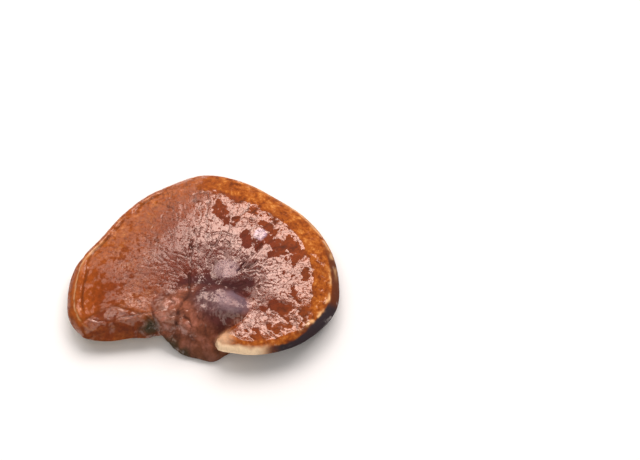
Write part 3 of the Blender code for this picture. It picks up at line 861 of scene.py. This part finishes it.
def remove_crumbs(mesh):
    """Keeps the largest connected body of the mesh and deletes any loose crumb beside it."""
    form = bmesh.new()
    form.from_mesh(mesh)
    bodies, seen = [], set()
    for first in form.verts:
        if first.index in seen:
            continue
        body, waiting = [], [first]
        seen.add(first.index)
        while waiting:
            point = waiting.pop()
            body.append(point)
            for joined in point.link_edges:
                other = joined.other_vert(point)
                if other.index not in seen:
                    seen.add(other.index)
                    waiting.append(other)
        bodies.append(body)
    bodies.sort(key=len)
    bmesh.ops.delete(form, geom=[point for body in bodies[:-1] for point in body], context="VERTS")
    form.to_mesh(mesh)
    form.free()


def nearest_on_skin(places):
    """The nearest spot on the smooth skin: its face's three points, their shares, itself, its depth."""
    found = [smooth_tree.find_nearest(Vector(p)) for p in places]
    spot = np.array([tuple(hit[0]) for hit in found])
    around_spot = corners[[hit[2] for hit in found]]
    depth = np.array([hit[3] for hit in found]) / MM
    a, b, c = (smooth_points[around_spot[:, k]] for k in range(3))
    edge_1, edge_2, offset = b - a, c - a, spot - a
    d11, d12, d22 = (edge_1 * edge_1).sum(1), (edge_1 * edge_2).sum(1), (edge_2 * edge_2).sum(1)
    d31, d32 = (offset * edge_1).sum(1), (offset * edge_2).sum(1)
    area = d11 * d22 - d12 * d12
    share_2 = (d22 * d31 - d12 * d32) / area
    share_3 = (d11 * d32 - d12 * d31) / area
    return around_spot, np.column_stack((1.0 - share_2 - share_3, share_2, share_3)), spot, depth


def shade_as_skin(mesh, on_skin, skin_normals):
    """Smooth on the skin, with the whole skin's normals, and flat on the wall inside."""
    mesh.shade_smooth()
    loop_point = np.empty(len(mesh.loops), dtype=np.int32)
    mesh.loops.foreach_get("vertex_index", loop_point)
    loop_count = np.empty(len(mesh.polygons), dtype=np.int32)
    mesh.polygons.foreach_get("loop_total", loop_count)
    loop_face = np.repeat(np.arange(len(mesh.polygons)), loop_count)
    inside = np.bincount(loop_face, weights=~on_skin[loop_point]) > 0
    flat = np.empty(len(mesh.polygons) * 3)
    mesh.polygons.foreach_get("normal", flat)
    flat = flat.reshape(-1, 3)
    custom = np.where(inside[loop_face][:, None], flat[loop_face], skin_normals[loop_point])
    custom /= np.linalg.norm(custom, axis=1)[:, None]
    mesh.normals_split_custom_set(custom.tolist())


def part_of_skin(name, operation):
    """One piece of the skin, closed, with its relief, marks and material."""
    mesh = parted(name, operation)
    remove_crumbs(mesh)
    start = read_points(mesh)
    around_spot, shares, spot, depth = nearest_on_skin(start)

    def spread(values):
        """A value of the whole skin, read off at each point of this piece."""
        return sum(shares[:, k] * values[around_spot[:, k]].T for k in range(3)).T

    follow = np.clip(1.0 - depth / WALL_SINK, 0.0, 1.0)[:, None]
    mesh.vertices.foreach_set("co", (start + (spread(finished_points) - spot) * follow).ravel())
    mesh.update()
    for mark_name, values in marks.items():
        layer = mesh.attributes.new(mark_name, "FLOAT" if values.ndim == 1 else "FLOAT_VECTOR", "POINT")
        layer.data.foreach_set("value" if values.ndim == 1 else "vector",
                               np.ascontiguousarray(spread(values), dtype=np.float32).ravel())
    shade_as_skin(mesh, depth < SKIN_DEPTH, spread(finished_normals))
    mesh.materials.clear()
    mesh.materials.append(crust)
    piece = bpy.data.objects.new(name, mesh)
    bpy.context.scene.collection.objects.link(piece)
    return piece


cap = part_of_skin("cap_crust", "DIFFERENCE")
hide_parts("cap")
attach(cap, "root")
stem = part_of_skin("stem_bark", "INTERSECT")
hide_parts("stem")
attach(stem, "root")

# The table: a plain pale sheet of matte board that the mushroom lies on, on the stem's cut and the
# far margin of the cap.
TABLE_SIZE = 6.0
TABLE_COLOUR = (0.78, 0.83, 0.88, 1.0)
TABLE_ROUGHNESS = 0.9
half_table = TABLE_SIZE / 2
table_mesh = bpy.data.meshes.new("table")
table_mesh.from_pydata([(-half_table, -half_table, 0), (half_table, -half_table, 0),
                        (half_table, half_table, 0), (-half_table, half_table, 0)], [], [(0, 1, 2, 3)])
table = bpy.data.objects.new("table", table_mesh)
bpy.context.scene.collection.objects.link(table)
# Matte board: no gleam, so it stays an even pale ground round the soft shadow
board = bpy.data.materials.new("matte_white_board")
board.use_nodes = True
board.node_tree.nodes["Principled BSDF"].inputs["Base Color"].default_value = TABLE_COLOUR
board.node_tree.nodes["Principled BSDF"].inputs["Roughness"].default_value = TABLE_ROUGHNESS
table_mesh.materials.append(board)

# Soft studio light: one broad softbox behind, whose mirror image lies on the cap as its shine, and
# four weaker ones at the left, above, low behind and in front, which fill in the shadows.
LIGHT_DISTANCE = 1.3
LIGHT_TARGET = Vector((0.0, 0.03, 0.015))
AMBIENT_STRENGTH = 0.1
# Name, azimuth and elevation in degrees, width and height in metres, watts, tint
SOFTBOXES = (
    ("back_softbox", 22.0, 56.0, 1.15, 0.85, 20.5, (1.0, 0.865, 0.79)),
    ("left_softbox", -45.0, 58.0, 0.8, 0.8, 5.0, (1.0, 0.88, 0.8)),
    ("top_softbox", 175.0, 76.0, 0.8, 0.6, 2.2, (1.0, 0.88, 0.8)),
    ("far_softbox", -20.0, 26.0, 1.2, 0.5, 3.0, (1.0, 0.88, 0.8)),
    ("front_softbox", -170.0, 40.0, 1.7, 1.0, 6.0, (1.0, 0.86, 0.74)),
)
for name, azimuth, elevation, width, height, watts, tint in SOFTBOXES:
    lamp = bpy.data.lights.new(name, "AREA")
    lamp.shape = "RECTANGLE"
    lamp.size = width
    lamp.size_y = height
    lamp.energy = watts
    lamp.color = tint
    softbox = bpy.data.objects.new(name, lamp)
    bearing, rise = math.radians(azimuth), math.radians(elevation)
    way = Vector((math.sin(bearing) * math.cos(rise), math.cos(bearing) * math.cos(rise), math.sin(rise)))
    softbox.location = LIGHT_TARGET + way * LIGHT_DISTANCE
    softbox.rotation_euler = way.to_track_quat("Z", "Y").to_euler()
    softbox.visible_camera = False
    bpy.context.scene.collection.objects.link(softbox)
studio = bpy.data.worlds.new("studio")
studio.use_nodes = True
studio.node_tree.nodes["Background"].inputs["Color"].default_value = (1.0, 1.0, 1.0, 1.0)
studio.node_tree.nodes["Background"].inputs["Strength"].default_value = AMBIENT_STRENGTH
bpy.context.scene.world = studio
bpy.context.scene.view_settings.view_transform = "Standard"

# The camera looks down on the mushroom as the photograph does: the middle of the stem's cut falls
# on its own pixel of the frame, at the photograph's scale.
FRAME_WIDTH, FRAME_HEIGHT = 640, 460
ORIGIN_PIXEL = (205.8, 333.1)
METRES_PER_PIXEL = 0.4436 * MM
VIEW_ELEVATION = math.radians(66.0)
VIEW_DISTANCE = 1.0
SENSOR_WIDTH = 36.0
camera_data = bpy.data.cameras.new("camera")
camera_data.sensor_width = SENSOR_WIDTH
camera_data.lens = SENSOR_WIDTH * VIEW_DISTANCE / (FRAME_WIDTH * METRES_PER_PIXEL)
camera = bpy.data.objects.new("camera", camera_data)
bpy.context.scene.collection.objects.link(camera)
view_up = Vector((0.0, math.sin(VIEW_ELEVATION), math.cos(VIEW_ELEVATION)))
view_back = Vector((0.0, -math.cos(VIEW_ELEVATION), math.sin(VIEW_ELEVATION)))
aim = (Vector((1.0, 0.0, 0.0)) * (FRAME_WIDTH / 2 - ORIGIN_PIXEL[0])
       + view_up * (ORIGIN_PIXEL[1] - FRAME_HEIGHT / 2)) * METRES_PER_PIXEL
camera.location = aim + view_back * VIEW_DISTANCE
camera.rotation_euler = (math.pi / 2 - VIEW_ELEVATION, 0.0, 0.0)
bpy.context.scene.camera = camera
